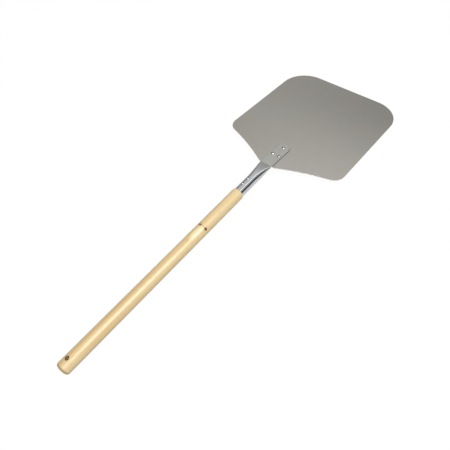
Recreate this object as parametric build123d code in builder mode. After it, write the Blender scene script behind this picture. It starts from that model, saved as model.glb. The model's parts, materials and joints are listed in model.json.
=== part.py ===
from build123d import *
import os
from math import asin, atan2, copysign, cos, hypot, pi, radians, sin, sqrt, tan

# Pizza peel: a flat aluminium blade riveted to the flattened end of a tube socket, which holds a
# turned wooden handle. Millimetres, +Z up, +Y towards the front of the blade, X = 0 down the middle.
# The peel lies as it does on a table, on its blade's front edge and the butt of its handle. The
# origin is on the table, midway between the two ends.

# Blade
blade_width = 355.6
blade_length = 406.4
blade_thickness = 1.5
front_corner_radius = 77.0
rear_corner_radius = 33.0
shoulder_rise = 85.0  # from the neck to the centres of the rear corners
shoulder_angle = 16.0  # slope of the shoulder where it meets the rear corner
neck_width = 47.0
neck_corner_radius = 3.0
blade_edge_round = 0.3

# Handle, measured from the neck of the blade along the handle's own axis
handle_reach = 658.3  # neck to the end of the butt
handle_diameter = 32.4
handle_pitch = 4.7  # how far the handle points down from the plane of the blade
handle_drop = 3.6  # depth of the handle's axis under the blade's top face, at the neck
butt_round = 6.5
shoulder_taper = 5.0  # length over which the wood's front end rounds down to the socket
shoulder_step = 0.6  # height of the wood's shoulder over the socket's outer face
tenon_length = 58.0
tenon_chamfer = 1.0

# Hanging hole through the handle
hanging_hole_diameter = 9.5
hanging_hole_inset = 23.9  # from the end of the butt
hanging_hole_turn = 8.0  # turned about the handle's axis, to the left of the top
hanging_hole_round = 0.8

# Socket
socket_diameter = 28.4
socket_wall = 1.2
socket_reach = 114.3  # neck to the rear rim
round_reach = 58.0  # neck to where the tube is fully round
cavity_reach = 9.0  # neck to where the flattened walls meet
cavity_height = 0.8  # inside height at that place
cavity_side = 2.4  # metal left at each side there
blend_steps = 6
seam_step = 0.05  # the opening stretch stands this much inside the tang and the round tube
outline_points = 24
flat_squareness = 5.0  # superellipse power of the pressed-flat tube; a circle has 2
squareness_ease = 0.5
tang_width = 35.0
tang_length = 91.0
tang_overhang = 3.0  # flat stretch behind the neck, before the tube starts to open

# Rivets
tang_rivet_shank = 4.8
tang_rivet_head = 8.0
tang_rivet_dome = 2.0
tang_rivet_tail = 7.4  # widest, flush with the underside of the blade
countersink_angle = 90.0
tang_rivet_front_y = 74.0
tang_rivet_rear_y = 40.0
tang_rivet_spread = 20.0  # between the two rear rivets
socket_rivet_shank = 4.0
socket_rivet_head = 7.0
socket_rivet_dome = 1.9
socket_rivet_tail = 6.4
socket_rivet_tail_height = 0.9
socket_rivet_front = 72.0  # from the neck, along the handle's axis
socket_rivet_rear = 92.0
socket_rivet_turn = 16.0  # turned about the handle's axis, to the left of the top
rivet_clearance = 0.05  # around each shank
tenon_clearance = 0.1  # around the tenon

tang_thickness = 2 * socket_wall
socket_radius = socket_diameter / 2
bore_radius = socket_radius - socket_wall
tenon_radius = bore_radius - tenon_clearance
handle_radius = handle_diameter / 2

# How it lies. Seen from the side, in the blade's own plane, the table is the line through the
# blade's lower front edge that touches the rounded edge of the butt from below.
pitch = radians(handle_pitch)
round_centre = handle_radius - butt_round
butt_y = -(handle_reach - butt_round) * cos(pitch) + round_centre * sin(pitch)
butt_z = -handle_drop - (handle_reach - butt_round) * sin(pitch) - round_centre * cos(pitch)
front_to_butt = hypot(blade_length - butt_y, -blade_thickness - butt_z)
lie = atan2(-blade_thickness - butt_z, blade_length - butt_y) + asin(butt_round / front_to_butt)

# The neck is the middle of the blade's rear edge, on its top face
neck_height = blade_length * sin(lie) + blade_thickness * cos(lie)
front_end = blade_length * cos(lie)
slope = pitch - lie
rear_end = (
    -handle_drop * sin(lie)
    - (handle_reach - butt_round) * cos(slope)
    - round_centre * sin(slope)
    - butt_round
)
neck_y = -(front_end + rear_end) / 2

blade_plane = Plane(origin=(0, neck_y, neck_height), x_dir=(1, 0, 0), z_dir=(0, sin(lie), cos(lie)))
under_neck = blade_plane.from_local_coords(Vector(0, 0, -blade_thickness))
axis_start = blade_plane.from_local_coords(Vector(0, 0, -handle_drop))
handle_plane = Plane(origin=axis_start, x_dir=(1, 0, 0), z_dir=(0, -cos(slope), -sin(slope)))
# handle_plane: local X to the right, local Y up, local Z along the axis towards the butt


def tube_outline(share, flat_width, flat_height, round_radius):
    """Closed outline, a share of the way from a pressed-flat tube to a round one."""
    half_width = flat_width / 2 + (round_radius - flat_width / 2) * share - seam_step
    half_height = flat_height / 2 + (round_radius - flat_height / 2) * share - seam_step
    squareness = 2 / (flat_squareness + (2 - flat_squareness) * share**squareness_ease)
    points = []
    for i in range(outline_points):
        angle = 2 * pi * i / outline_points
        x = half_width * copysign(abs(cos(angle)) ** squareness, cos(angle))
        y = half_height * copysign(abs(sin(angle)) ** squareness, sin(angle))
        points.append((x, y))
    Spline(*points, periodic=True)


def blend_share(reach):
    """Eased share of the way from the flat tang to the round tube, at a distance behind the neck."""
    return (1 - cos(pi * (reach - tang_overhang) / (round_reach - tang_overhang))) / 2


def blend_plane(reach):
    """Plane across the socket there, turning from the tang to the handle's axis."""
    share = blend_share(reach)
    tang_middle = blade_plane.from_local_coords(Vector(0, -reach, tang_thickness / 2))
    on_axis = handle_plane.from_local_coords(Vector(0, 0, reach))
    tilt = share * pitch - lie
    centre = tang_middle + (on_axis - tang_middle) * share
    return Plane(origin=centre, x_dir=(1, 0, 0), z_dir=(0, -cos(tilt), -sin(tilt)))


def turned_plane(reach, turn):
    """Plane along the handle's axis, looking down on it from a direction turned to the left."""
    angle = radians(turn)
    up = handle_plane.y_dir * cos(angle) - handle_plane.x_dir * sin(angle)
    spot = handle_plane.from_local_coords(Vector(0, 0, reach))
    return Plane(origin=spot, x_dir=handle_plane.z_dir, z_dir=up)


def dome_arc(radius, height):
    """Profile of a dome, from its crown down to its rim."""
    sphere = (radius**2 + height**2) / (2 * height)
    half_angle = asin(radius / sphere) / 2
    middle = (sphere * sin(half_angle), height - sphere * (1 - cos(half_angle)))
    return ThreePointArc((0, height), middle, (radius, 0))


tang_rivet_places = {
    "tang_rivet_front": (0, tang_rivet_front_y),
    "tang_rivet_left": (-tang_rivet_spread / 2, tang_rivet_rear_y),
    "tang_rivet_right": (tang_rivet_spread / 2, tang_rivet_rear_y),
}

# ---- Blade
with BuildPart() as blade:
    with BuildSketch(blade_plane.offset(-blade_thickness)):
        with BuildLine():
            corner_x = blade_width / 2 - rear_corner_radius
            leave_x = corner_x + rear_corner_radius * sin(radians(shoulder_angle))
            leave_y = shoulder_rise - rear_corner_radius * cos(radians(shoulder_angle))
            front_y = blade_length - front_corner_radius
            neck_edge = Line((0, 0), (neck_width / 2, 0))
            corner = JernArc(
                (leave_x, leave_y),
                (cos(radians(shoulder_angle)), sin(radians(shoulder_angle))),
                rear_corner_radius,
                90 - shoulder_angle,
            )
            shoulder = TangentArc(corner @ 0, neck_edge @ 1, tangent=-(corner % 0))
            side = Line(corner @ 1, (blade_width / 2, front_y))
            front_corner = JernArc(side @ 1, (0, 1), front_corner_radius, 90)
            Line(front_corner @ 1, (0, blade_length))
            mirror(about=Plane.YZ)
        make_face()
        necks = vertices().group_by(Axis.Y)[0]
        fillet(necks, neck_corner_radius)
    extrude(amount=blade_thickness)
    broad_faces = faces().sort_by(SortBy.AREA)[-2:]
    fillet(broad_faces.edges(), blade_edge_round)
    with Locations(Plane(origin=under_neck, x_dir=(1, 0, 0), z_dir=-blade_plane.z_dir)):
        with Locations(*[(x, -y) for x, y in tang_rivet_places.values()]):
            CounterSinkHole(
                radius=tang_rivet_shank / 2 + rivet_clearance,
                counter_sink_radius=tang_rivet_tail / 2 + rivet_clearance,
                counter_sink_angle=countersink_angle,
            )
blade.part.label = "blade"

# ---- Socket: the tang, the stretch where the tube opens out, and the round tube
with BuildPart() as socket:
    with BuildSketch(blade_plane):
        tang_straight = tang_length - tang_width / 2
        with BuildLine():
            left = Line((-tang_width / 2, tang_straight), (-tang_width / 2, -tang_overhang))
            rear = Line(left @ 1, (tang_width / 2, -tang_overhang))
            right = Line(rear @ 1, (tang_width / 2, tang_straight))
            RadiusArc(right @ 1, left @ 0, -tang_width / 2)
        make_face()
    extrude(amount=tang_thickness)
    for i in range(blend_steps + 1):
        reach = tang_overhang + (round_reach - tang_overhang) * i / blend_steps
        with BuildSketch(blend_plane(reach)):
            with BuildLine():
                tube_outline(blend_share(reach), tang_width, tang_thickness, socket_radius)
            make_face()
    loft()
    with BuildSketch(handle_plane.offset(round_reach)):
        Circle(socket_radius)
    extrude(amount=socket_reach - round_reach)
    with BuildSketch(handle_plane.offset(round_reach)):
        Circle(bore_radius)
    extrude(amount=socket_reach - round_reach, mode=Mode.SUBTRACT)
    cavity_width = tang_width - 2 * cavity_side
    for i in range(blend_steps + 1):
        reach = cavity_reach + (round_reach - cavity_reach) * i / blend_steps
        with BuildSketch(blend_plane(reach)):
            with BuildLine():
                tube_outline(blend_share(reach), cavity_width, cavity_height, bore_radius)
            make_face()
    loft(mode=Mode.SUBTRACT)
    socket_rivet_places = (socket_rivet_front, socket_rivet_rear)
    for reach in socket_rivet_places:
        with Locations(turned_plane(reach, socket_rivet_turn)):
            Hole(socket_rivet_shank / 2 + rivet_clearance)
    with Locations(blade_plane):
        with Locations(*tang_rivet_places.values()):
            Hole(tang_rivet_shank / 2 + rivet_clearance)
socket.part.label = "socket"

# ---- Handle, turned about its axis, with the tenon that fills the round part of the socket
with BuildPart() as handle:
    with BuildSketch(Plane(origin=axis_start, x_dir=handle_plane.z_dir, z_dir=(1, 0, 0))):
        # local X runs along the axis towards the butt, local Y away from the axis
        with BuildLine():
            tip = socket_reach - tenon_length
            shoulder_height = socket_radius + shoulder_step
            full = socket_reach + shoulder_taper
            axis_line = Line((handle_reach, 0), (tip, 0))
            tenon_end = Line(axis_line @ 1, (tip, tenon_radius - tenon_chamfer))
            tenon_bevel = Line(tenon_end @ 1, (tip + tenon_chamfer, tenon_radius))
            tenon_side = Line(tenon_bevel @ 1, (socket_reach, tenon_radius))
            step = Line(tenon_side @ 1, (socket_reach, shoulder_height))
            cheek = TangentArc((full, handle_radius), step @ 1, tangent=(-1, 0))
            pole = Line(cheek @ 0, (handle_reach - butt_round, handle_radius))
            butt = JernArc(pole @ 1, (1, 0), butt_round, -90)
            Line(butt @ 1, (handle_reach, 0))
        make_face()
    revolve(axis=Axis(axis_start, handle_plane.z_dir))
    with Locations(turned_plane(handle_reach - hanging_hole_inset, hanging_hole_turn)):
        Hole(hanging_hole_diameter / 2)
    hole_wall = faces().filter_by(GeomType.CYLINDER).sort_by(SortBy.RADIUS)[0]
    fillet(hole_wall.edges().filter_by(GeomType.LINE, reverse=True), hanging_hole_round)
    for reach in socket_rivet_places:
        with Locations(turned_plane(reach, socket_rivet_turn)):
            Hole(socket_rivet_shank / 2 + rivet_clearance)
handle.part.label = "handle"


def tang_rivet(base):
    """Domed rivet down through the tang and the blade, its tail set flush into the underside."""
    grip = tang_thickness + blade_thickness
    sink = (tang_rivet_tail - tang_rivet_shank) / 2 / tan(radians(countersink_angle / 2))
    radius = tang_rivet_shank / 2
    with BuildPart() as body:
        with BuildSketch(Plane(origin=base.origin, x_dir=base.x_dir, z_dir=-base.y_dir)):
            with BuildLine():
                dome = dome_arc(tang_rivet_head / 2, tang_rivet_dome)
                shank = Polyline(dome @ 1, (radius, 0), (radius, sink - grip))
                Polyline(shank @ 1, (tang_rivet_tail / 2, -grip), (0, -grip), dome @ 0)
            make_face()
        revolve(axis=Axis(base.origin, base.z_dir))
    return body


def socket_rivet(base):
    """Domed rivet down through socket and tenon, head and tail hollowed to sit on the tube."""
    skirt = socket_radius - sqrt(socket_radius**2 - socket_rivet_head**2 / 4)
    tail_top = skirt - socket_diameter
    tail_end = -socket_diameter - socket_rivet_tail_height
    tail_rim = (socket_rivet_tail - socket_rivet_tail_height) / 2
    with BuildPart() as body:
        with BuildSketch(Plane(origin=base.origin, x_dir=base.x_dir, z_dir=-base.y_dir)):
            with BuildLine():
                dome = dome_arc(socket_rivet_head / 2, socket_rivet_dome)
                Polyline(dome @ 1, (socket_rivet_head / 2, -skirt), (0, -skirt), dome @ 0)
            make_face()
            with BuildLine():
                Polyline(
                    (0, tail_top),
                    (socket_rivet_tail / 2, tail_top),
                    (socket_rivet_tail / 2, -socket_diameter),
                    (tail_rim, tail_end),
                    (0, tail_end),
                    close=True,
                )
            make_face()
        revolve(axis=Axis(base.origin, base.z_dir))
        with BuildSketch(Plane(origin=base.origin - base.z_dir * socket_radius, z_dir=base.x_dir)):
            Circle(socket_radius)
        extrude(amount=socket_rivet_head, both=True, mode=Mode.SUBTRACT)
        with BuildSketch(base.offset(-socket_diameter)):
            Circle(socket_rivet_shank / 2)
        extrude(amount=socket_diameter)
    return body


# ---- Rivets
pieces = [blade, socket, handle]
for name, place in tang_rivet_places.items():
    spot = blade_plane.from_local_coords(Vector(*place, tang_thickness))
    piece = tang_rivet(Plane(origin=spot, x_dir=blade_plane.x_dir, z_dir=blade_plane.z_dir))
    piece.part.label = name
    pieces.append(piece)
for name, reach in zip(("socket_rivet_front", "socket_rivet_rear"), socket_rivet_places):
    piece = socket_rivet(turned_plane(reach, socket_rivet_turn).offset(socket_radius))
    piece.part.label = name
    pieces.append(piece)

os.makedirs("parts", exist_ok=True)
for piece in pieces:
    export_step(piece.part, f"parts/{piece.part.label}.step")
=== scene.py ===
import bpy
import bmesh
import json
from collections import namedtuple
from math import asin, atan2, cos, pi, radians, sin, sqrt
from mathutils import Matrix, Vector


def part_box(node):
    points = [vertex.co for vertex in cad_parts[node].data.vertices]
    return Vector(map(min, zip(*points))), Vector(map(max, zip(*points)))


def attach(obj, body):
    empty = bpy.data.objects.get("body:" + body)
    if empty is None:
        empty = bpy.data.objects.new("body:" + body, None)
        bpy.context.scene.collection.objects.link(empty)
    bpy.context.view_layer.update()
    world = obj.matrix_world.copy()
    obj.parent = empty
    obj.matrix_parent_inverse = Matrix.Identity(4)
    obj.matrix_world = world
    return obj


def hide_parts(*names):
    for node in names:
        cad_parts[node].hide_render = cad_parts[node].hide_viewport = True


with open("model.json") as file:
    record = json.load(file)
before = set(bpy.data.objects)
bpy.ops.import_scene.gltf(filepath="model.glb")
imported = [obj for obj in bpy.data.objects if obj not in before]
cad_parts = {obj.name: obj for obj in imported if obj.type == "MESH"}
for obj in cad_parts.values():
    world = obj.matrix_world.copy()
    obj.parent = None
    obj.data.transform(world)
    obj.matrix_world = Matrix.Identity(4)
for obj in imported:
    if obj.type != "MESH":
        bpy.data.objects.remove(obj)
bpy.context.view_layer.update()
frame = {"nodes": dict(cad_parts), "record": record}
mm = 0.001
smoothUpTo = radians(40)  # faces that meet more sharply keep a hard edge


# Where the blade and the handle lie, read from the frame

def mount(name):
    return next(m for m in frame["record"]["mounts"] if m["name"] == name)


underside = mount("blade_underside")
bladeUp = -Vector(underside["axis"])
bladeForward = Vector((0, bladeUp.z, -bladeUp.y))
bladeTilt = atan2(bladeForward.z, bladeForward.y)

hole = mount("hanging_hole")
holePlace = Vector(hole["pos_m"])
holeAxis = Vector(hole["axis"])
handleRadius = hole["dims"]["length_mm"] * mm / 2

tipPoints = [v.co for v in frame["nodes"]["handle"].data.vertices]
tipY = max(p.y for p in tipPoints)
tipHeights = [p.z for p in tipPoints if p.y > tipY - 0.5 * mm]
tenonTip = Vector((0, tipY, (min(tipHeights) + max(tipHeights)) / 2))
axisBack = (holePlace - tenonTip).normalized()
handleTilt = atan2(-axisBack.y, axisBack.z)
pitch = handleTilt - pi / 2 - bladeTilt  # how far the handle points down from the blade


# Shader expressions

class Signal:
    # one socket of a tree; sums on it add Math nodes
    def __init__(self, tree, socket=None):
        self.tree = tree
        self.socket = socket

    def node(self, kind, settings=None, inputs=None, output=0):
        new = self.tree.nodes.new("ShaderNode" + kind)
        for name, value in (settings or {}).items():
            if name == "stops":
                while len(new.color_ramp.elements) < len(value):
                    new.color_ramp.elements.new(1)
                for element, (place, colour) in zip(new.color_ramp.elements, value):
                    element.position = place
                    element.color = (*colour, 1)
            else:
                setattr(new, name, value)
        for key, value in (inputs or {}).items():
            if isinstance(value, Signal):
                self.tree.links.new(value.socket, new.inputs[key])
            else:
                new.inputs[key].default_value = value
        return Signal(self.tree, new.outputs[output])

    def math(self, operation, *terms):
        return self.node("Math", {"operation": operation}, dict(enumerate(terms)))

    def __add__(self, other):
        return self.math("ADD", self, other)

    __radd__ = __add__

    def __sub__(self, other):
        return self.math("SUBTRACT", self, other)

    def __rsub__(self, other):
        return self.math("SUBTRACT", other, self)

    def __mul__(self, other):
        return self.math("MULTIPLY", self, other)

    __rmul__ = __mul__

    def __pow__(self, other):
        return self.math("POWER", self, other)

    def absolute(self):
        return self.math("ABSOLUTE", self)

    def sine(self):
        return self.math("SINE", self)

    def limited(self, low=0.0, high=1.0):
        return self.math("MAXIMUM", self.math("MINIMUM", self, high), low)

    def fade(self, start, end):
        # 0 before start, 1 after end, smooth between them
        return self.node("MapRange", {"interpolation_type": "SMOOTHSTEP"},
                         {"Value": self, "From Min": start, "From Max": end})

    def split(self):
        return [self.node("SeparateXYZ", None, {0: self}, axis) for axis in range(3)]

    def mix(self, share, first, second, blend="MIX"):
        # colours, as three numbers or a signal
        ends = [c if isinstance(c, Signal) else (*c, 1) for c in (first, second)]
        return self.node("Mix", {"data_type": "RGBA", "blend_type": blend},
                         {0: share, 6: ends[0], 7: ends[1]}, 2)

    def shading(self, colour):
        # the colour, made lighter or darker by this signal
        grey = self.node("CombineXYZ", None, {0: self, 1: self, 2: self})
        return self.mix(1.0, colour, grey, "MULTIPLY")

    def stain(self, where, colour, finish):
        # finish is the stain's colour, and how strongly it shows
        tone, strength = finish
        return self.mix(where * strength, colour, tone)

    def scaled(self, size):
        return self.node("VectorMath", {"operation": "MULTIPLY"}, {0: self, 1: size})

    def noise(self, size, detail=2.0, stretch=(1, 1, 1), seed=(0, 0, 0)):
        # smooth noise about 0.5, with blotches about that size in metres
        place = self.node("VectorMath", {"operation": "ADD"}, {0: self.scaled(stretch), 1: seed})
        return self.node("TexNoise", None, {"Vector": place, "Scale": 1 / size, "Detail": detail})

    def distanceTo(self, point, stretch=(1, 1, 1)):
        away = self.node("VectorMath", {"operation": "SUBTRACT"}, {0: self, 1: point})
        return self.node("VectorMath", {"operation": "LENGTH"}, {0: away.scaled(stretch)}, 1)


def newMaterial(name, origin, tilt, **constants):
    # a material, its surface shader, and the place on a piece that lies at origin, turned by tilt
    material = bpy.data.materials.new(name)
    material.use_nodes = True
    surface = material.node_tree.nodes["Principled BSDF"]
    for socket, value in constants.items():
        surface.inputs[socket.replace("_", " ")].default_value = value
    start = Signal(material.node_tree)
    coords = start.node("TexCoord", output=3)
    place = start.node("Mapping", {"vector_type": "TEXTURE"},
                       {"Vector": coords, "Location": origin, "Rotation": (tilt, 0, 0)})
    return material, surface, place


def plug(surface, **signals):
    for socket, signal in signals.items():
        surface.id_data.links.new(signal.socket, surface.inputs[socket.replace("_", " ")])


def bumped(surface, height, distance, strength=1.0):
    bump = height.node("Bump", None, {"Height": height, "Distance": distance, "Strength": strength})
    surface.id_data.links.new(bump.socket, surface.inputs["Normal"])


# Steps that several pieces share

def clearSelection():
    if bpy.context.object and bpy.context.object.mode != "OBJECT":
        bpy.ops.object.mode_set(mode="OBJECT")
    bpy.ops.object.select_all(action="DESELECT")


def pick(piece):
    clearSelection()
    piece.select_set(True)
    bpy.context.view_layer.objects.active = piece


def selectPoints(test):
    bpy.ops.mesh.select_mode(type="VERT")
    bpy.ops.mesh.select_all(action="DESELECT")
    mesh = bmesh.from_edit_mesh(bpy.context.edit_object.data)
    for point in mesh.verts:
        if test(point.co):
            point.select_set(True)
    bmesh.update_edit_mesh(bpy.context.edit_object.data)


def extrudeBy(move):
    bpy.ops.mesh.extrude_region_move(TRANSFORM_OT_translate={"value": move})


def startRings(name, sides, place, radius, turn=0.0):
    # a filled disc at a height, left in edit mode and selected, ready to be drawn out
    clearSelection()
    bpy.ops.mesh.primitive_circle_add(vertices=sides, radius=radius, fill_type="NGON",
                                      location=(0, 0, place), rotation=(0, 0, turn))
    piece = bpy.context.object
    piece.name = piece.data.name = name
    bpy.ops.object.transform_apply(location=True, rotation=True, scale=True)
    bpy.ops.object.mode_set(mode="EDIT")
    return piece


def drawRings(rings, place, radius):
    # draws the selected disc out through (height, radius) steps
    for nextPlace, nextRadius in rings:
        extrudeBy((0, 0, nextPlace - place))
        grow = nextRadius / radius
        bpy.ops.transform.resize(value=(grow, grow, 1), center_override=(0, 0, nextPlace))
        place, radius = nextPlace, nextRadius


def closeShape():
    # welds the seams, turns the faces outwards and leaves edit mode
    bpy.ops.mesh.select_all(action="SELECT")
    bpy.ops.mesh.remove_doubles(threshold=0.002 * mm)
    bpy.ops.mesh.normals_make_consistent(inside=False)
    bpy.ops.object.mode_set(mode="OBJECT")


def addModifier(piece, kind, **settings):
    modifier = piece.modifiers.new(kind.title(), kind)
    for name, value in settings.items():
        setattr(modifier, name, value)
    bpy.context.view_layer.objects.active = piece
    bpy.ops.object.modifier_apply(modifier=modifier.name)


def tilted(origin, tilt):
    return Matrix.Translation(origin) @ Matrix.Rotation(tilt, 4, "X")


def pointed(origin, direction):
    # +Z goes along the direction
    return Matrix.Translation(origin) @ direction.to_track_quat("Z", "Y").to_matrix().to_4x4()


def placePiece(piece, place):
    # from the piece's own frame to where it lies; the place ends up in the mesh
    pick(piece)
    piece.matrix_world = place
    bpy.ops.object.transform_apply(location=True, rotation=True, scale=True)


def finishPiece(piece, node, material):
    pick(piece)
    bpy.ops.object.shade_smooth_by_angle(angle=smoothUpTo)
    addModifier(piece, "WEIGHTED_NORMAL", keep_sharp=True)
    piece.data.materials.clear()
    piece.data.materials.append(material)
    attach(piece, "root")
    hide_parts(node)
    print("made", piece.name, "with", len(piece.data.polygons), "faces")


# The blade, drawn flat: +X right, +Y forward, 0 at the middle of the neck

blade = {
    "thickness": 1.5 * mm,
    "frontCorner": 77 * mm,
    "rearCorner": 33 * mm,
    "shoulderRise": 85 * mm,  # neck to the centres of the rear corners
    "shoulderAngle": radians(16),
    "neckWidth": 47 * mm,
    "neckCorner": 0.75 * mm,
    "edgeRound": 0.3 * mm,
    "arcSteps": (24, 18, 32),  # shoulder, rear corner, front corner
    "colours": ((0.615, 0.598, 0.548), (0.62, 0.594, 0.541)),
    "paintedRearLight": 0.22,  # painted light: how much lighter the metal is painted behind than in front
    "lightFades": (110 * mm, 380 * mm),
    # painted shade across the corners, centred and sized by the next two
    "paintedCornerShade": 0.09,
    "shadeMiddle": 240 * mm,
    "shadeHalf": (178 * mm, 145 * mm),  # middle to the corners, across and along
    "paintedSheenRing": (5 * mm, 9 * mm, 12 * mm, 16 * mm),  # painted sheen, out from the tang: starts, full, fades, gone
    # the colour of the painted shade along the tang, and of the two flecks
    "paintedShadeAndFlecks": ((0.10, 0.10, 0.10), 0.6),
    "flecks": ((-19.5 * mm, 68 * mm, 0), (-17.5 * mm, 80 * mm, 0)),
    "roughness": 0.30,
    "edgeRoughness": 0.3,  # more, on the cut edge and below
}
bladeLow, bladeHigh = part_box("blade")
neckY = bladeLow.y + blade["thickness"] * bladeUp.y
onTop = Vector(underside["pos_m"]) + bladeUp * blade["thickness"]
neck = onTop - bladeForward * ((onTop.y - neckY) / bladeForward.y)
bladeLength = (bladeHigh.y - neck.y) / bladeForward.y
bladeWidth = bladeHigh.x - bladeLow.x


def sweepRound(centre, angle, steps):
    # draws the selected point round a centre; a turn to the left is positive
    bpy.ops.mesh.spin(steps=steps, angle=angle, center=(*centre, 0), axis=(0, 0, -1))


def buildBlade(b):
    rear, front = b["rearCorner"], b["frontCorner"]
    shoulderSteps, rearSteps, frontSteps = b["arcSteps"]
    corner = Vector((bladeWidth / 2 - rear, b["shoulderRise"]))
    outward = Vector((sin(b["shoulderAngle"]), -cos(b["shoulderAngle"])))
    leave = corner + rear * outward
    neckCorner = Vector((b["neckWidth"] / 2, 0))
    chord = leave - neckCorner
    # the shoulder is a shallow hollow arc that runs into the rear corner
    shoulderRadius = chord.length_squared / (-2 * chord.dot(outward))
    shoulderTurn = 2 * asin(chord.length / (2 * shoulderRadius))
    clearSelection()
    bpy.ops.mesh.primitive_plane_add(size=0.01, location=(0, 0, 0))
    piece = bpy.context.object
    piece.name = piece.data.name = "bladeSheet"
    bpy.ops.object.mode_set(mode="EDIT")
    bpy.ops.mesh.merge(type="CENTER")  # one point, drawn round the right half of the outline
    extrudeBy((neckCorner.x, 0, 0))
    sweepRound(leave + shoulderRadius * outward, -shoulderTurn, shoulderSteps)
    sweepRound(corner, pi / 2 - b["shoulderAngle"], rearSteps)
    extrudeBy((0, bladeLength - front - corner.y, 0))
    sweepRound((bladeWidth / 2 - front, bladeLength - front), pi / 2, frontSteps)
    extrudeBy((front - bladeWidth / 2, 0, 0))
    bpy.ops.mesh.select_all(action="SELECT")
    bpy.ops.mesh.remove_doubles(threshold=0.01 * mm)
    bpy.ops.object.mode_set(mode="OBJECT")
    addModifier(piece, "MIRROR", use_axis=(True, False, False), merge_threshold=0.01 * mm)
    bpy.ops.object.mode_set(mode="EDIT")
    selectPoints(lambda place: abs(place.y) < 0.1 * mm and abs(place.x) > 1 * mm)  # the neck's corners
    bpy.ops.mesh.bevel(offset=b["neckCorner"], segments=4, affect="VERTICES")
    bpy.ops.mesh.select_all(action="SELECT")
    bpy.ops.mesh.edge_face_add()
    extrudeBy((0, 0, -b["thickness"]))
    closeShape()
    addModifier(piece, "BEVEL", width=b["edgeRound"], segments=3, limit_method="ANGLE",
                angle_limit=radians(60))
    return piece


def bladeMetal(b):
    material, surface, place = newMaterial("satinAluminium", neck, bladeTilt, Metallic=1.0)
    x, y, z = place.split()
    # rolled sheet: soft clouds, a fine tooth, and long rolling lines
    cloud = place.noise(120 * mm, 3)
    patches = place.noise(22 * mm, 4, seed=(3, 1, 0))
    tooth = place.noise(0.7 * mm, 2)
    rolling = place.noise(1.2 * mm, 3, stretch=(1, 0.03, 1))
    scuffs = place.noise(2.0 * mm, 4, stretch=(0.08, 1, 1), seed=(7, 2, 0)).fade(0.64, 0.74)
    # a faint ring round the tang: painted sheen, lighter in colour, and a little smoother
    past = y - y.limited(0, tangStraight)
    fromTang = (x * x + past * past) ** 0.5 - socket["tangWidth"] / 2
    starts, full, fades, gone = b["paintedSheenRing"]
    ring = fromTang.fade(starts, full) * (1 - fromTang.fade(fades, gone))
    light = 1 + 0.05 * (cloud - 0.5) + 0.06 * (patches - 0.5) + 0.10 * (tooth - 0.5)
    light = light + 0.05 * (rolling - 0.5) + 0.03 * ring
    # painted light and shade: lighter behind, darker towards the front, and unevenly so across the
    # corners
    halfAcross, halfAlong = b["shadeHalf"]
    corners = x * (y - b["shadeMiddle"]) * (1 / (halfAcross * halfAlong))
    light = light + b["paintedRearLight"] * (1 - y.fade(*b["lightFades"])) - b["paintedCornerShade"] * corners
    colour = light.shading(place.mix(cloud.fade(0.35, 0.65), *b["colours"]))
    # painted shade in the corner along the tang, and two flecks beside it in the same dark colour
    paintedShadeAndFlecks = (1 - fromTang.fade(0.2 * mm, 1.1 * mm)) * y.fade(2 * mm, 6 * mm)
    for spot in b["flecks"]:
        paintedShadeAndFlecks = paintedShadeAndFlecks + (1 - place.distanceTo(spot, (0.8, 1, 0)).fade(0.6 * mm, 2.0 * mm)) * 0.7
    colour = place.stain(paintedShadeAndFlecks.limited(), colour, b["paintedShadeAndFlecks"])
    side = 1 - z.fade(-0.12 * mm, -0.01 * mm)  # the cut edge and the underside
    rough = b["roughness"] + b["edgeRoughness"] * side + 0.04 * (patches - 0.5)
    rough = rough + 0.05 * (tooth - 0.5) - 0.02 * scuffs - 0.02 * ring
    plug(surface, Base_Color=colour, Roughness=rough)
    bumped(surface, tooth * 0.6 + rolling * 0.4 - scuffs * 0.10, 0.01 * mm, 0.4)
    return material


# The socket: tang, opening stretch and round tube

socket = {
    "radius": 14.2 * mm,
    "wall": 1.2 * mm,
    "reach": 114.3 * mm,  # neck to the rear rim
    "middleReach": 80 * mm,  # one more ring on the round tube
    "roundReach": 58 * mm,  # neck to where the tube starts to flatten
    "boreEnd": 56 * mm,
    "rimRound": 0.25 * mm,
    "tangWidth": 35 * mm,
    "tangLength": 91 * mm,
    "crease": 1 * mm,  # neck to where the tang starts to open
    "quickness": 1.8,  # how quickly it opens behind the crease
    "handleDrop": 3.6 * mm,  # the top of the blade down to the tube's axis, at the neck
    "sides": 64,
    "steps": 16,
    "tipSteps": 14,
    "tipTurn": radians(87),
    "colours": ((0.75, 0.76, 0.78), (0.765, 0.765, 0.72)),  # tube, tang
    # the colour of the painted shade along the tang's side edge
    "paintedEdgeShade": ((0.12, 0.12, 0.12), 0.75),
    # the colour of the painted shade round the rivet heads
    "paintedShadeAndFlecks": ((0.10, 0.10, 0.10), 0.75),
    "roughness": (0.18, 0.16),  # the tube's, and how much more the tang's is
}
tangThickness = 2 * socket["wall"]
tangStraight = socket["tangLength"] - socket["tangWidth"] / 2  # neck to the tip's centre
axisStart = neck - bladeUp * socket["handleDrop"]
Ring = namedtuple("Ring", "centre height flat turn narrow")


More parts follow.
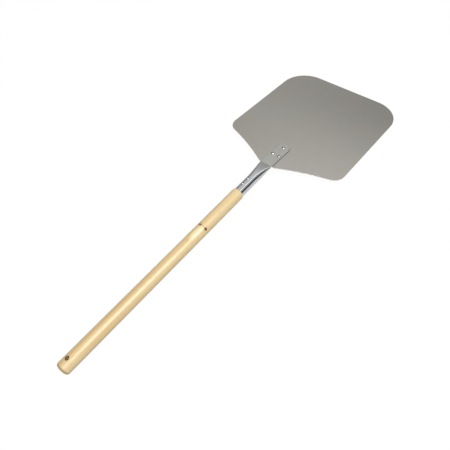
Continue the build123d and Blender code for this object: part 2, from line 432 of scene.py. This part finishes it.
def buildSocket(s):
    radius, bore, rim = s["radius"], s["radius"] - s["wall"], s["rimRound"]
    halfStep = pi / s["sides"]
    piece = startRings("socketTube", s["sides"], -s["boreEnd"], bore, halfStep)
    drawRings([
        (rim - s["reach"], bore),
        (-s["reach"], bore + rim),
        (-s["reach"], radius - rim),
        (rim - s["reach"], radius),
        (-s["middleReach"], radius),
        (-s["roundReach"], radius),
    ], -s["boreEnd"], bore)
    # from here the tube is squeezed ring by ring into the tang; +Z runs forward and +Y down
    stations = []
    for i in range(1, s["steps"] + 1):
        reach = s["roundReach"] + (s["crease"] - s["roundReach"]) * i / s["steps"]
        opened = 1 - i / s["steps"]
        share = 1 - (1 - opened) ** s["quickness"]
        centre = inTang(-reach).lerp(Vector((0, 0, -reach)), share)
        width = s["tangWidth"] + (2 * radius - s["tangWidth"]) * opened
        stations.append((centre, share, width, 1.0))
    for i in range(s["tipSteps"]):
        angle = s["tipTurn"] * i / (s["tipSteps"] - 1)
        centre = inTang(tangStraight + s["tangWidth"] / 2 * sin(angle))
        stations.append((centre, 0.0, s["tangWidth"], cos(angle)))
    before = Ring(Vector((0, 0, -s["roundReach"])), 2 * radius, 0.0, 0.0, 1.0)
    for centre, share, width, narrow in stations:
        height = tangThickness + (2 * radius - tangThickness) * share
        after = Ring(centre, height, width - height, pitch * (1 - share), narrow)
        nextRing(before, after)
        before = after
    closeShape()
    return piece


def inTang(along):
    # a point of the tang's middle plane, in the socket's own frame
    middle = Vector((0, -socket["handleDrop"] - tangThickness / 2, along))
    return Matrix.Rotation(-pitch, 3, "X") @ middle


def nextRing(before, after):
    # draws the selected ring on, gives its two halves their new height and width, and leans it
    about = {"center_override": after.centre}
    grow = after.height / before.height
    extrudeBy(after.centre - before.centre)
    bpy.ops.transform.resize(value=(1 / before.narrow, 1, 1), **about)
    spreadHalves(-before.flat / 2)
    bpy.ops.transform.resize(value=(grow, grow, grow), **about)
    bpy.ops.transform.rotate(value=after.turn - before.turn, orient_axis="X", **about)
    spreadHalves(after.flat / 2)
    bpy.ops.transform.resize(value=(after.narrow, 1, 1), **about)


def spreadHalves(move):
    # moves the right half of the selected ring outwards, and the left half too
    mesh = bmesh.from_edit_mesh(bpy.context.edit_object.data)
    ring = [v for v in mesh.verts if v.select]
    cap = next(f for f in mesh.faces if f.select)
    for side in (1, -1):
        bpy.ops.mesh.select_mode(type="VERT")
        bpy.ops.mesh.select_all(action="DESELECT")
        for v in ring:
            v.select_set(v.co.x * side > 0)
        bmesh.update_edit_mesh(bpy.context.edit_object.data)
        bpy.ops.transform.translate(value=(move * side, 0, 0))
    bpy.ops.mesh.select_mode(type="FACE")
    cap.select_set(True)
    bmesh.update_edit_mesh(bpy.context.edit_object.data)


def tubeMetal(s):
    # +Y down, +Z forward, as the socket is made
    material, surface, place = newMaterial("polishedTube", axisStart, handleTilt + pi, Metallic=1.0)
    x, y, z = place.split()
    tangSpots = [(right, -6 * mm, forward) for right, forward in tangRivet["places"].values()]
    turn = socketRivet["turn"]
    socketSpots = [(-sin(turn) * s["radius"], -14 * mm, -reach)
                   for reach in socketRivet["places"].values()]
    pressed = z.fade(-30 * mm, 2 * mm)  # 0 on the round tube, 1 on the tang
    drawn = place.noise(0.5 * mm, 3, stretch=(1, 1, 0.02))
    cloud = place.noise(18 * mm, 3, seed=(1, 4, 0))
    tooth = place.noise(0.6 * mm, 2)
    nicks = place.noise(3 * mm, 4, stretch=(1, 1, 0.3), seed=(5, 0, 2)).fade(0.66, 0.72)
    light = 1 + 0.08 * (drawn - 0.5) + 0.14 * (cloud - 0.5) * pressed
    light = light + 0.14 * (tooth - 0.5) * pressed - 0.12 * nicks * pressed
    colour = light.shading(place.mix(pressed, *s["colours"]))
    # painted shade along the tang's side edge
    past = z - z.limited(0, tangStraight)
    edge = ((x * x + past * past) ** 0.5 - s["tangWidth"] / 2).fade(-0.45 * mm, -0.1 * mm)
    colour = place.stain(edge * z.fade(1 * mm, 4 * mm), colour, s["paintedEdgeShade"])
    # painted shade round every rivet head, where it meets the metal
    for rivets, spots in ((tangRivet, tangSpots), (socketRivet, socketSpots)):
        for spot in spots:
            rim = place.distanceTo(spot, (1, 0.2, 1)) - rivets["head"]
            colour = place.stain(1 - rim.fade(0.2 * mm, 1.3 * mm), colour, s["paintedShadeAndFlecks"])
    smooth, more = s["roughness"]
    rough = smooth + more * pressed + 0.02 * (drawn - 0.5) + 0.03 * (cloud - 0.5)
    plug(surface, Base_Color=colour, Roughness=rough)
    bumped(surface, tooth * pressed, 0.01 * mm, 0.4)
    return material


# The handle, drawn along +Z towards the butt

handle = {
    "radius": handleRadius,
    "reach": 658.3 * mm,  # neck to the end of the butt
    "tenonLength": 58 * mm,
    "tenonRadius": 12.9 * mm,
    "tenonChamfer": 1 * mm,
    "taper": 5 * mm,  # the wood's front end rounds down to the socket
    "step": 0.6 * mm,  # the wood stands this proud of the socket at its rim
    "shoulderLoop": 0.3 * mm,
    "buttRound": 6.5 * mm,
    "holeRadius": hole["dims"]["r_mm"] * mm,
    "holeRound": 0.8 * mm,
    "holeRim": 0.2 * mm,  # the rounding ends this far below the pole's crown
    "holeReach": 634.4 * mm,
    "holeTurn": atan2(-holeAxis.x, holeAxis.z),
    "cutterPast": 2 * mm,
    "cutterSides": 48,
    "rimSteps": 5,
    "knotReach": 246 * mm,
    "knotTurns": (radians(-15), radians(46)),  # from the top, to the right
    "knotCore": 3 * mm,
    "knotSpread": 9 * mm,
    "knotSwell": 0.35 * mm,
    "marks": [  # pin knots and a smudge: reach, turn from the top, size, depth of colour
        (192 * mm, radians(30), 1.5 * mm, 0.75),
        (137 * mm, radians(-2), 1.0 * mm, 0.5),
        (295 * mm, radians(-1), 3.5 * mm, 0.22),
        (330 * mm, radians(-70), 1.2 * mm, 0.5),
        (505 * mm, radians(150), 2.4 * mm, 0.7),
        (388 * mm, radians(200), 3.0 * mm, 0.65),
    ],
    "yearWidth": 5.2 * mm,
    "colours": ((0.79, 0.575, 0.285), (0.84, 0.655, 0.355)),
    # stains on that wood, each with how strongly it shows
    "lateWood": ((0.70, 0.50, 0.27), 0.14),
    "fibre": ((0.66, 0.47, 0.26), 0.05),
    "mottle": ((0.84, 0.63, 0.42), 0.20),
    "streak": ((0.60, 0.38, 0.20), 0.4),
    "flame": ((0.98, 0.87, 0.56), 0.7),
    "seam": ((0.42, 0.22, 0.08), 0.55),
    "knotHalo": ((0.50, 0.26, 0.09), 0.6),
    "knotHeart": ((0.05, 0.02, 0.008), 0.93),
    "mark": (0.33, 0.19, 0.09),
    "endGrain": (0.46, 0.31, 0.14),
    "pithPlace": (-24 * mm, -30 * mm, 0),
    "holeShadeAndWood": ((0.07, 0.04, 0.018), (0.42, 0.28, 0.13)),  # painted shade, darkest at the rim, over raw wood deeper in
    "roughness": 0.28,
    "holeRoughness": 0.4,  # more, on the raw wood
    "endRoughness": 0.2,
    "shine": 0.62,
    "sides": 96,
    "rings": 130,
    "arcSteps": 8,
}


def ringArc(centre, radius, start, end, steps):
    # (place, radius) steps round an arc of a turned edge
    angles = [start + (end - start) * i / steps for i in range(steps + 1)]
    return [(centre[0] + radius * sin(a), centre[1] + radius * cos(a)) for a in angles]


def buildHandle(h):
    full, reach, edge = h["radius"], h["reach"], h["buttRound"]
    front = socket["reach"]
    step = socket["radius"] + h["step"]
    tip = front - h["tenonLength"]
    chamfer = h["tenonChamfer"]
    piece = startRings("handlePole", h["sides"], tip, h["tenonRadius"] - chamfer)
    rings = [(tip + chamfer, h["tenonRadius"]), (front, h["tenonRadius"])]
    rings += [(front, step - h["shoulderLoop"])]
    # the shoulder is an arc that meets the full pole smoothly
    drop = full - step
    cheek = (h["taper"] ** 2 + drop ** 2) / (2 * drop)
    poleStart, poleEnd = front + h["taper"], reach - edge
    rings += ringArc((poleStart, full - cheek), cheek, -asin(h["taper"] / cheek), 0, h["arcSteps"])
    count = h["rings"]
    rings += [(poleStart + (poleEnd - poleStart) * i / count, full) for i in range(1, count)]
    rings += ringArc((poleEnd, full - edge), edge, 0, pi / 2, h["arcSteps"])
    drawRings(rings, tip, h["tenonRadius"] - chamfer)
    swellKnots(h)
    closeShape()
    drillHole(piece, h)
    return piece


def swellKnots(h):
    # the grain stands slightly proud round each knot
    bpy.ops.mesh.select_all(action="DESELECT")
    for turn in h["knotTurns"]:
        outward = Vector((sin(turn), cos(turn), 0))
        spot = outward * h["radius"] + Vector((0, 0, h["knotReach"] + 2 * mm))
        selectPoints(lambda place: (place - spot).length < h["knotCore"])
        bpy.ops.transform.translate(value=outward * h["knotSwell"], use_proportional_edit=True,
                                    proportional_edit_falloff="SMOOTH",
                                    proportional_size=h["knotSpread"])


def drillHole(piece, h):
    # a cutter turned with flared ends, so that the rims come out rounded
    radius, flare = h["holeRadius"], h["holeRound"]
    rim, end = h["radius"] - h["holeRim"], h["radius"] + h["cutterPast"]
    angles = [pi / 2 * i / h["rimSteps"] for i in range(h["rimSteps"] + 1)]
    curve = [(rim + flare * (sin(a) - 1), radius + flare * (1 - cos(a))) for a in angles]
    cutter = startRings("holeCutter", h["cutterSides"], -end, radius + flare)
    rings = [(-z, r) for z, r in reversed(curve)] + curve + [(end, radius + flare)]
    drawRings(rings, -end, radius + flare)
    closeShape()
    # the hole's own axis, in the handle's frame
    along = Matrix.Rotation(handleTilt, 3, "X").transposed() @ holeAxis
    placePiece(cutter, pointed((0, 0, h["holeReach"]), along))
    addModifier(piece, "BOOLEAN", operation="DIFFERENCE", object=cutter, solver="EXACT")
    bpy.data.objects.remove(cutter)


def handleWood(h):
    # +X right, +Y up, +Z towards the butt
    material, surface, place = newMaterial("paleTurnedWood", axisStart, handleTilt,
                                           Specular_IOR_Level=h["shine"])
    x, y, z = place.split()
    knots = [(sin(t) * h["radius"], cos(t) * h["radius"], h["knotReach"]) for t in h["knotTurns"]]
    # year rings round a pith outside the pole, which wander slowly along it
    wander = place.noise(60 * mm, 2, stretch=(1, 1, 0.18)) - 0.5
    waver = place.noise(9 * mm, 3, stretch=(1, 1, 0.10), seed=(2, 0, 5)) - 0.5
    push = [1 - place.distanceTo(k, (1, 1, 0.45)).fade(2 * mm, 13 * mm) for k in knots]
    pith = place.distanceTo(h["pithPlace"], (1, 1, 0.012))
    across = pith + wander * 7 * mm + waver * 1.6 * mm + (push[0] + push[1]) * 2.5 * mm
    years = (across * (2 * pi / h["yearWidth"])).sine()
    late = (years * 0.5 + 0.5) ** 3
    fibre = place.noise(0.55 * mm, 3, stretch=(1, 1, 0.02), seed=(0, 3, 1))
    broad = place.noise(14 * mm, 2, stretch=(1, 1, 0.06), seed=(4, 1, 1))
    mottle = place.noise(30 * mm, 3, seed=(0, 7, 2))
    colour = place.mix(broad.fade(0.35, 0.66), *h["colours"])
    colour = place.stain(late, colour, h["lateWood"])
    colour = place.stain(fibre.fade(0.5, 0.8), colour, h["fibre"])
    colour = place.stain(mottle.fade(0.5, 0.75), colour, h["mottle"])
    # a pinkish streak left of the top, along the rear half
    streak = 1 - (x + 3.4 * mm + waver * 4 * mm).absolute().fade(0.6 * mm, 2.4 * mm)
    streak = streak * y.fade(0, 5 * mm) * z.fade(300 * mm, 460 * mm)
    colour = place.stain(streak, colour, h["streak"])
    # a lighter flame runs on from the knots towards the butt
    flamePlace = (4 * mm, h["radius"], h["knotReach"] + 22 * mm)
    flame = place.distanceTo(flamePlace, (1, 1, 0.32)).fade(10 * mm, 4 * mm)
    colour = place.stain(flame, colour, h["flame"])
    # the knots of one whorl, with a thin brown seam between them
    seam = 1 - (z + waver * 3 * mm - h["knotReach"] + 0.3 * mm).absolute().fade(0.5 * mm, 2.0 * mm)
    middle = sum(h["knotTurns"]) / 2
    seamPlace = (sin(middle) * h["radius"], cos(middle) * h["radius"], h["knotReach"])
    between = 1 - place.distanceTo(seamPlace, (1, 1, 0)).fade(6 * mm, 11 * mm)
    colour = place.stain(seam * between, colour, h["seam"])
    ragged = waver * 3 * mm
    for spot in knots:
        halo = 1 - (place.distanceTo(spot, (0.9, 0.9, 0.8)) + ragged).fade(1.2 * mm, 6.5 * mm)
        core = 1 - (place.distanceTo(spot, (0.45, 0.45, 1.0)) + ragged).fade(1.2 * mm, 2.6 * mm)
        colour = place.stain(halo, colour, h["knotHalo"])
        colour = place.stain(core, colour, h["knotHeart"])
    # small pin knots and a rubbed smudge
    for reach, turn, size, depth in h["marks"]:
        spot = (sin(turn) * h["radius"], cos(turn) * h["radius"], reach)
        mark = 1 - place.distanceTo(spot, (1, 1, 0.7)).fade(size * 0.35, size)
        colour = place.stain(mark, colour, (h["mark"], depth))
    # end grain, and raw wood with painted shade inside the hole
    endGrain = z.fade(h["reach"] - 6.6 * mm, h["reach"] - 5.0 * mm)  # round the butt's edge
    pores = place.noise(0.5 * mm, 2, stretch=(1, 1, 0.2), seed=(1, 1, 1)).fade(0.5, 0.7)
    colour = place.mix(endGrain * (0.70 + 0.25 * pores), colour, h["endGrain"])
    turned = h["holeTurn"]
    sideways = x * cos(turned) + y * sin(turned)
    lengthways = z - h["holeReach"]
    fromHole = (sideways * sideways + lengthways * lengthways) ** 0.5
    holeShadeAndWood = 1 - fromHole.fade(h["holeRadius"] - 0.1 * mm, h["holeRadius"] + 0.3 * mm)
    depth = h["radius"] - (y * cos(turned) - x * sin(turned)).absolute()
    inner = place.mix(depth.fade(2.0 * mm, 5.0 * mm), *h["holeShadeAndWood"])
    colour = place.mix(holeShadeAndWood, colour, inner)
    rough = h["roughness"] + 0.02 * (fibre - 0.5) + 0.02 * late
    rough = rough + h["holeRoughness"] * holeShadeAndWood + h["endRoughness"] * endGrain
    plug(surface, Base_Color=colour, Roughness=rough)
    bumped(surface, late * 0.5 + fibre * 0.1 - pores * endGrain * 0.5, 0.01 * mm, 0.2)
    return material


# The rivets

tangRivet = {
    "head": 4 * mm,  # radius
    "dome": 2 * mm,
    "rim": 0.25 * mm,
    "tail": 3.7 * mm,
    "tailProud": 0.03 * mm,
    "shank": 2.4 * mm,
    "sides": 40,
    "places": {
        "tang_rivet_front": (0, 74 * mm),
        "tang_rivet_left": (-10 * mm, 40 * mm),
        "tang_rivet_right": (10 * mm, 40 * mm),
    },
}
socketRivet = {
    "head": 3.5 * mm,
    "dome": 1.88 * mm,
    "rim": 0.2 * mm,
    "shank": 2.0 * mm,
    "tail": 3.2 * mm,
    "tailHeight": 0.9 * mm,
    "tailFlat": 0.55,  # of the tail's radius
    "sides": 40,
    "turn": radians(16),  # to the left of the top
    "places": {"socket_rivet_front": 72 * mm, "socket_rivet_rear": 92 * mm},
}


def domeRings(radius, height, rim, steps=9):
    # a short upright rim, then the dome up to a small flat on its crown
    rise = height - rim
    sphere = (radius ** 2 + rise ** 2) / (2 * rise)
    half = asin(radius / sphere)
    angles = [half * (1 - i / steps) for i in range(steps)] + [half * 0.03]
    return [(height - sphere * (1 - cos(a)), sphere * sin(a)) for a in angles]


def buildTangRivet(r, name):
    # up from the underside of the blade, +Z up, 0 on the tang
    bottom = -tangThickness - blade["thickness"] - r["tailProud"]
    piece = startRings(name, r["sides"], bottom, r["tail"])
    sink = r["tail"] - r["shank"]
    drawRings([(bottom + sink, r["shank"]), (0, r["shank"]), (0, r["head"])]
              + domeRings(r["head"], r["dome"], r["rim"]), bottom, r["tail"])
    closeShape()
    return piece


def buildSocketRivet(r, name):
    # across the whole tube, +Z out of its head, 0 on the tube
    across = 2 * socket["radius"]
    bottom, foot = -across - r["tailHeight"], r["tail"] * r["tailFlat"]
    # head and tail go on into the curved wall, to nearly where it falls away under their rims
    sunk = 0.9 * (socket["radius"] - sqrt(socket["radius"] ** 2 - r["head"] ** 2))
    piece = startRings(name, r["sides"], bottom, foot)
    drawRings([
        (-across - r["tailHeight"] * 0.7, r["tail"] * 0.85),
        (-across, r["tail"]),
        (-across + sunk, r["tail"]),
        (-across + sunk, r["shank"]),
        (-sunk, r["shank"]),
        (-sunk, r["head"]),
    ] + domeRings(r["head"], r["dome"], r["rim"]), bottom, foot)
    closeShape()
    return piece


rivetFinish = {"colour": (0.52, 0.52, 0.50), "roughness": 0.24}


def rivetMetal(r):
    material, surface, place = newMaterial("brightRivet", axisStart, handleTilt, Metallic=1.0)
    tooth = place.noise(0.4 * mm, 3)
    cloud = place.noise(4 * mm, 2)
    light = 1 + 0.16 * (tooth - 0.5) + 0.2 * (cloud - 0.5)
    rough = r["roughness"] + 0.14 * (tooth - 0.5) + 0.1 * (cloud - 0.5)
    plug(surface, Base_Color=light.shading(r["colour"]), Roughness=rough)
    bumped(surface, tooth, 0.03 * mm, 0.4)
    return material


bladePiece = buildBlade(blade)
placePiece(bladePiece, tilted(neck, bladeTilt))
finishPiece(bladePiece, "blade", bladeMetal(blade))

socketPiece = buildSocket(socket)
placePiece(socketPiece, tilted(axisStart, handleTilt + pi))
finishPiece(socketPiece, "socket", tubeMetal(socket))

handlePiece = buildHandle(handle)
placePiece(handlePiece, tilted(axisStart, handleTilt))
finishPiece(handlePiece, "handle", handleWood(handle))

brightRivet = rivetMetal(rivetFinish)
onTang = bladeUp * tangThickness
for name, (right, forward) in tangRivet["places"].items():
    rivet = buildTangRivet(tangRivet, name + "Head")
    seat = neck + Vector((right, 0, 0)) + bladeForward * forward + onTang
    placePiece(rivet, tilted(seat, bladeTilt))
    finishPiece(rivet, name, brightRivet)

handleUp = Vector((0, axisBack.z, -axisBack.y))
out = handleUp * cos(socketRivet["turn"]) + Vector((-1, 0, 0)) * sin(socketRivet["turn"])
for name, reach in socketRivet["places"].items():
    rivet = buildSocketRivet(socketRivet, name + "Head")
    seat = axisStart + axisBack * reach + out * socket["radius"]
    placePiece(rivet, pointed(seat, out))
    finishPiece(rivet, name, brightRivet)


# The studio

studio = {
    "aim": Vector((24.1, -69.3, 0)) * mm,
    "distance": 890.6 * mm,
    "azimuth": 48.83,  # to the left of +Y
    "lookDown": 56.75,
    "roll": 9.28,
    "lens": 29.234,
    "softboxPlace": (1.2, -0.2, 3.0),
    "softboxAim": (0, -0.15, 0),
    "softboxSize": (1.7, 2.1),
    "softboxWatts": 94,
    "floorSize": 12,
    "floorColour": (0.36, 0.36, 0.36, 1),
    "floorRoughness": 0.9,
    "floorShine": 0.1,
    "floorGlow": 1.14,
    "floorGlowShare": 0.84,  # of what is seen; the rest shows shadows
    "floorGlowMirrored": 0.45,
}
room = {
    "skirting": (0.07, 0.07, 0.075),
    "wall": (0.40, 0.40, 0.40),
    "skirtingHeights": (0.10, 0.42),
    "panel": (0.78, 0.77, 0.75),
    "panelTowards": (-0.30, 0.44, 0.84),
    "panelSpread": 0.42,
    "strip": (1.6, 1.6, 1.6),
    "stripAcross": 0.31,
    "stripEdges": (0.05, 0.11),
    "stripStarts": (0.28, 0.38),
    "card": (0.03, 0.035, 0.045),
    "cardAcross": (0.25, 0.55),
    "cardHeights": (0.44, 0.62),
    "fill": (0.26, 0.26, 0.26),  # what lights everything that isn't a mirror
}
lightPath = {"camera": 0, "mirror": 3, "through": 6}  # the light path node's outputs


def makeCamera(s):
    turned = (Matrix.Rotation(radians(s["azimuth"]), 4, "Z")
              @ Matrix.Rotation(radians(90 - s["lookDown"]), 4, "X")
              @ Matrix.Rotation(radians(-s["roll"]), 4, "Z"))
    bpy.ops.object.camera_add()
    camera = bpy.context.object
    camera.data.lens = s["lens"]
    camera.data.sensor_width = 36
    camera.data.clip_start = 0.01
    camera.matrix_world = (Matrix.Translation(s["aim"]) @ turned
                           @ Matrix.Translation((0, 0, s["distance"])))
    bpy.context.scene.camera = camera


def makeSoftbox(s):
    bpy.ops.object.light_add(type="AREA", location=s["softboxPlace"])
    lamp = bpy.context.object
    lamp.name = "keySoftbox"
    lamp.data.shape = "RECTANGLE"
    lamp.data.size, lamp.data.size_y = s["softboxSize"]
    lamp.data.energy = s["softboxWatts"]
    backwards = Vector(s["softboxPlace"]) - Vector(s["softboxAim"])
    lamp.rotation_euler = backwards.to_track_quat("Z", "Y").to_euler()


def makeFloor(s):
    clearSelection()
    bpy.ops.mesh.primitive_plane_add(size=s["floorSize"], location=(0, 0, 0))
    floor = bpy.context.object
    floor.name = "studioFloor"
    material = bpy.data.materials.new("whiteFloor")
    material.use_nodes = True
    tree = material.node_tree
    surface = tree.nodes["Principled BSDF"]
    surface.inputs["Base Color"].default_value = s["floorColour"]
    surface.inputs["Roughness"].default_value = s["floorRoughness"]
    surface.inputs["Specular IOR Level"].default_value = s["floorShine"]
    start = Signal(tree)
    seen = {ray: start.node("LightPath", output=place) for ray, place in lightPath.items()}
    most = s["floorGlowShare"]
    share = seen["camera"] * most + seen["mirror"] * s["floorGlowMirrored"] + seen["through"] * most
    share = share.limited(0, most)
    glow = start.node("Emission", None, {"Strength": s["floorGlow"]})
    mixed = start.node("MixShader", None, {0: share, 1: Signal(tree, surface.outputs[0]), 2: glow})
    tree.links.new(mixed.socket, tree.nodes["Material Output"].inputs[0])
    floor.data.materials.append(material)


def makeWorld(r):
    world = bpy.data.worlds.new("studioWorld")
    world.use_nodes = True
    bpy.context.scene.world = world
    tree = world.node_tree
    start = Signal(tree)
    seen = {ray: start.node("LightPath", output=place) for ray, place in lightPath.items()}
    direction = start.node("TexCoord", output=0)
    across, along, height = direction.split()
    # what the metal mirrors: a grey room, dark along the skirting, with a pale panel up ahead, a
    # bright strip ahead on the right, and a black card low on the right
    walls = start.mix(height.fade(*r["skirtingHeights"]), r["skirting"], r["wall"])
    panel = 1 - direction.distanceTo(r["panelTowards"]).fade(0.0, r["panelSpread"])
    walls = start.mix(panel, walls, r["panel"])
    fromStrip = (across - r["stripAcross"]).absolute()
    strip = (1 - fromStrip.fade(*r["stripEdges"])) * along.fade(*r["stripStarts"])
    walls = start.mix(strip, walls, r["strip"])
    card = across.fade(*r["cardAcross"]) * (1 - height.fade(*r["cardHeights"]))
    walls = start.mix(card, walls, r["card"])
    colour = start.mix(seen["mirror"], r["fill"], walls)
    # white where it is seen itself
    colour = start.mix((seen["camera"] + seen["through"]).limited(), colour, (1, 1, 1))
    tree.links.new(colour.socket, tree.nodes["Background"].inputs[0])


makeCamera(studio)
makeSoftbox(studio)
makeFloor(studio)
makeWorld(room)
print("set up the camera, the softbox, the floor and the room")
bpy.context.scene.view_settings.view_transform = "Standard"
